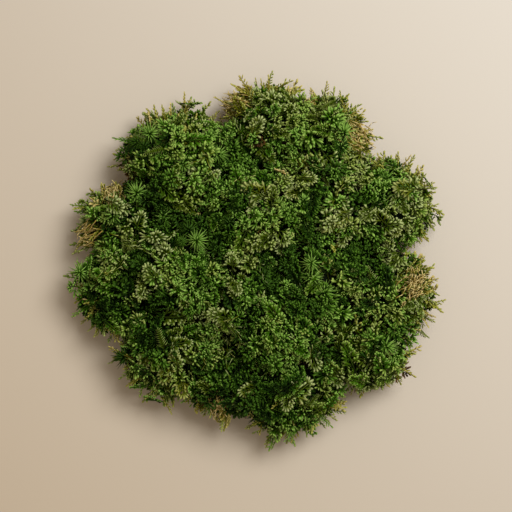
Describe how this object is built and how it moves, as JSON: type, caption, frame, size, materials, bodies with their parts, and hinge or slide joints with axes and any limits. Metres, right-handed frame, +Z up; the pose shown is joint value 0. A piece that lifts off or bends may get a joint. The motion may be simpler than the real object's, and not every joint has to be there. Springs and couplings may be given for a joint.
{
  "type": "moss clump",
  "caption": "Low, round, lobed clump of feathery green moss: domed tufts of leafy shoots on a thin brown mat of dead stems, cut off flat underneath.",
  "frame": {"origin": "middle of the clump on its flat underside", "axes": "+Z up, away from the flat underside; +Y towards the top of the picture and +X towards its right, as seen from straight above"},
  "size_m": [0.1496, 0.1499, 0.0385],
  "materials": {
    "moss": "matte, living green moss shoots",
    "root_mat": "matte, felted brown dead stems and rhizoids"
  },
  "bodies": {
    "root": {"root_mat": "root_mat", "tuft_top": "moss", "tuft_upper_right": "moss", "tuft_right_upper": "moss", "tuft_right": "moss", "tuft_lower_right": "moss", "tuft_bottom": "moss", "tuft_bottom_left": "moss", "tuft_lower_left": "moss", "tuft_left_lower": "moss", "tuft_left_upper": "moss", "tuft_upper_left": "moss", "tuft_inner_left": "moss", "tuft_inner_top": "moss", "tuft_inner_upper_right": "moss", "tuft_inner_right": "moss", "tuft_inner_bottom": "moss", "tuft_middle": "moss"}
  },
  "joints": []
}
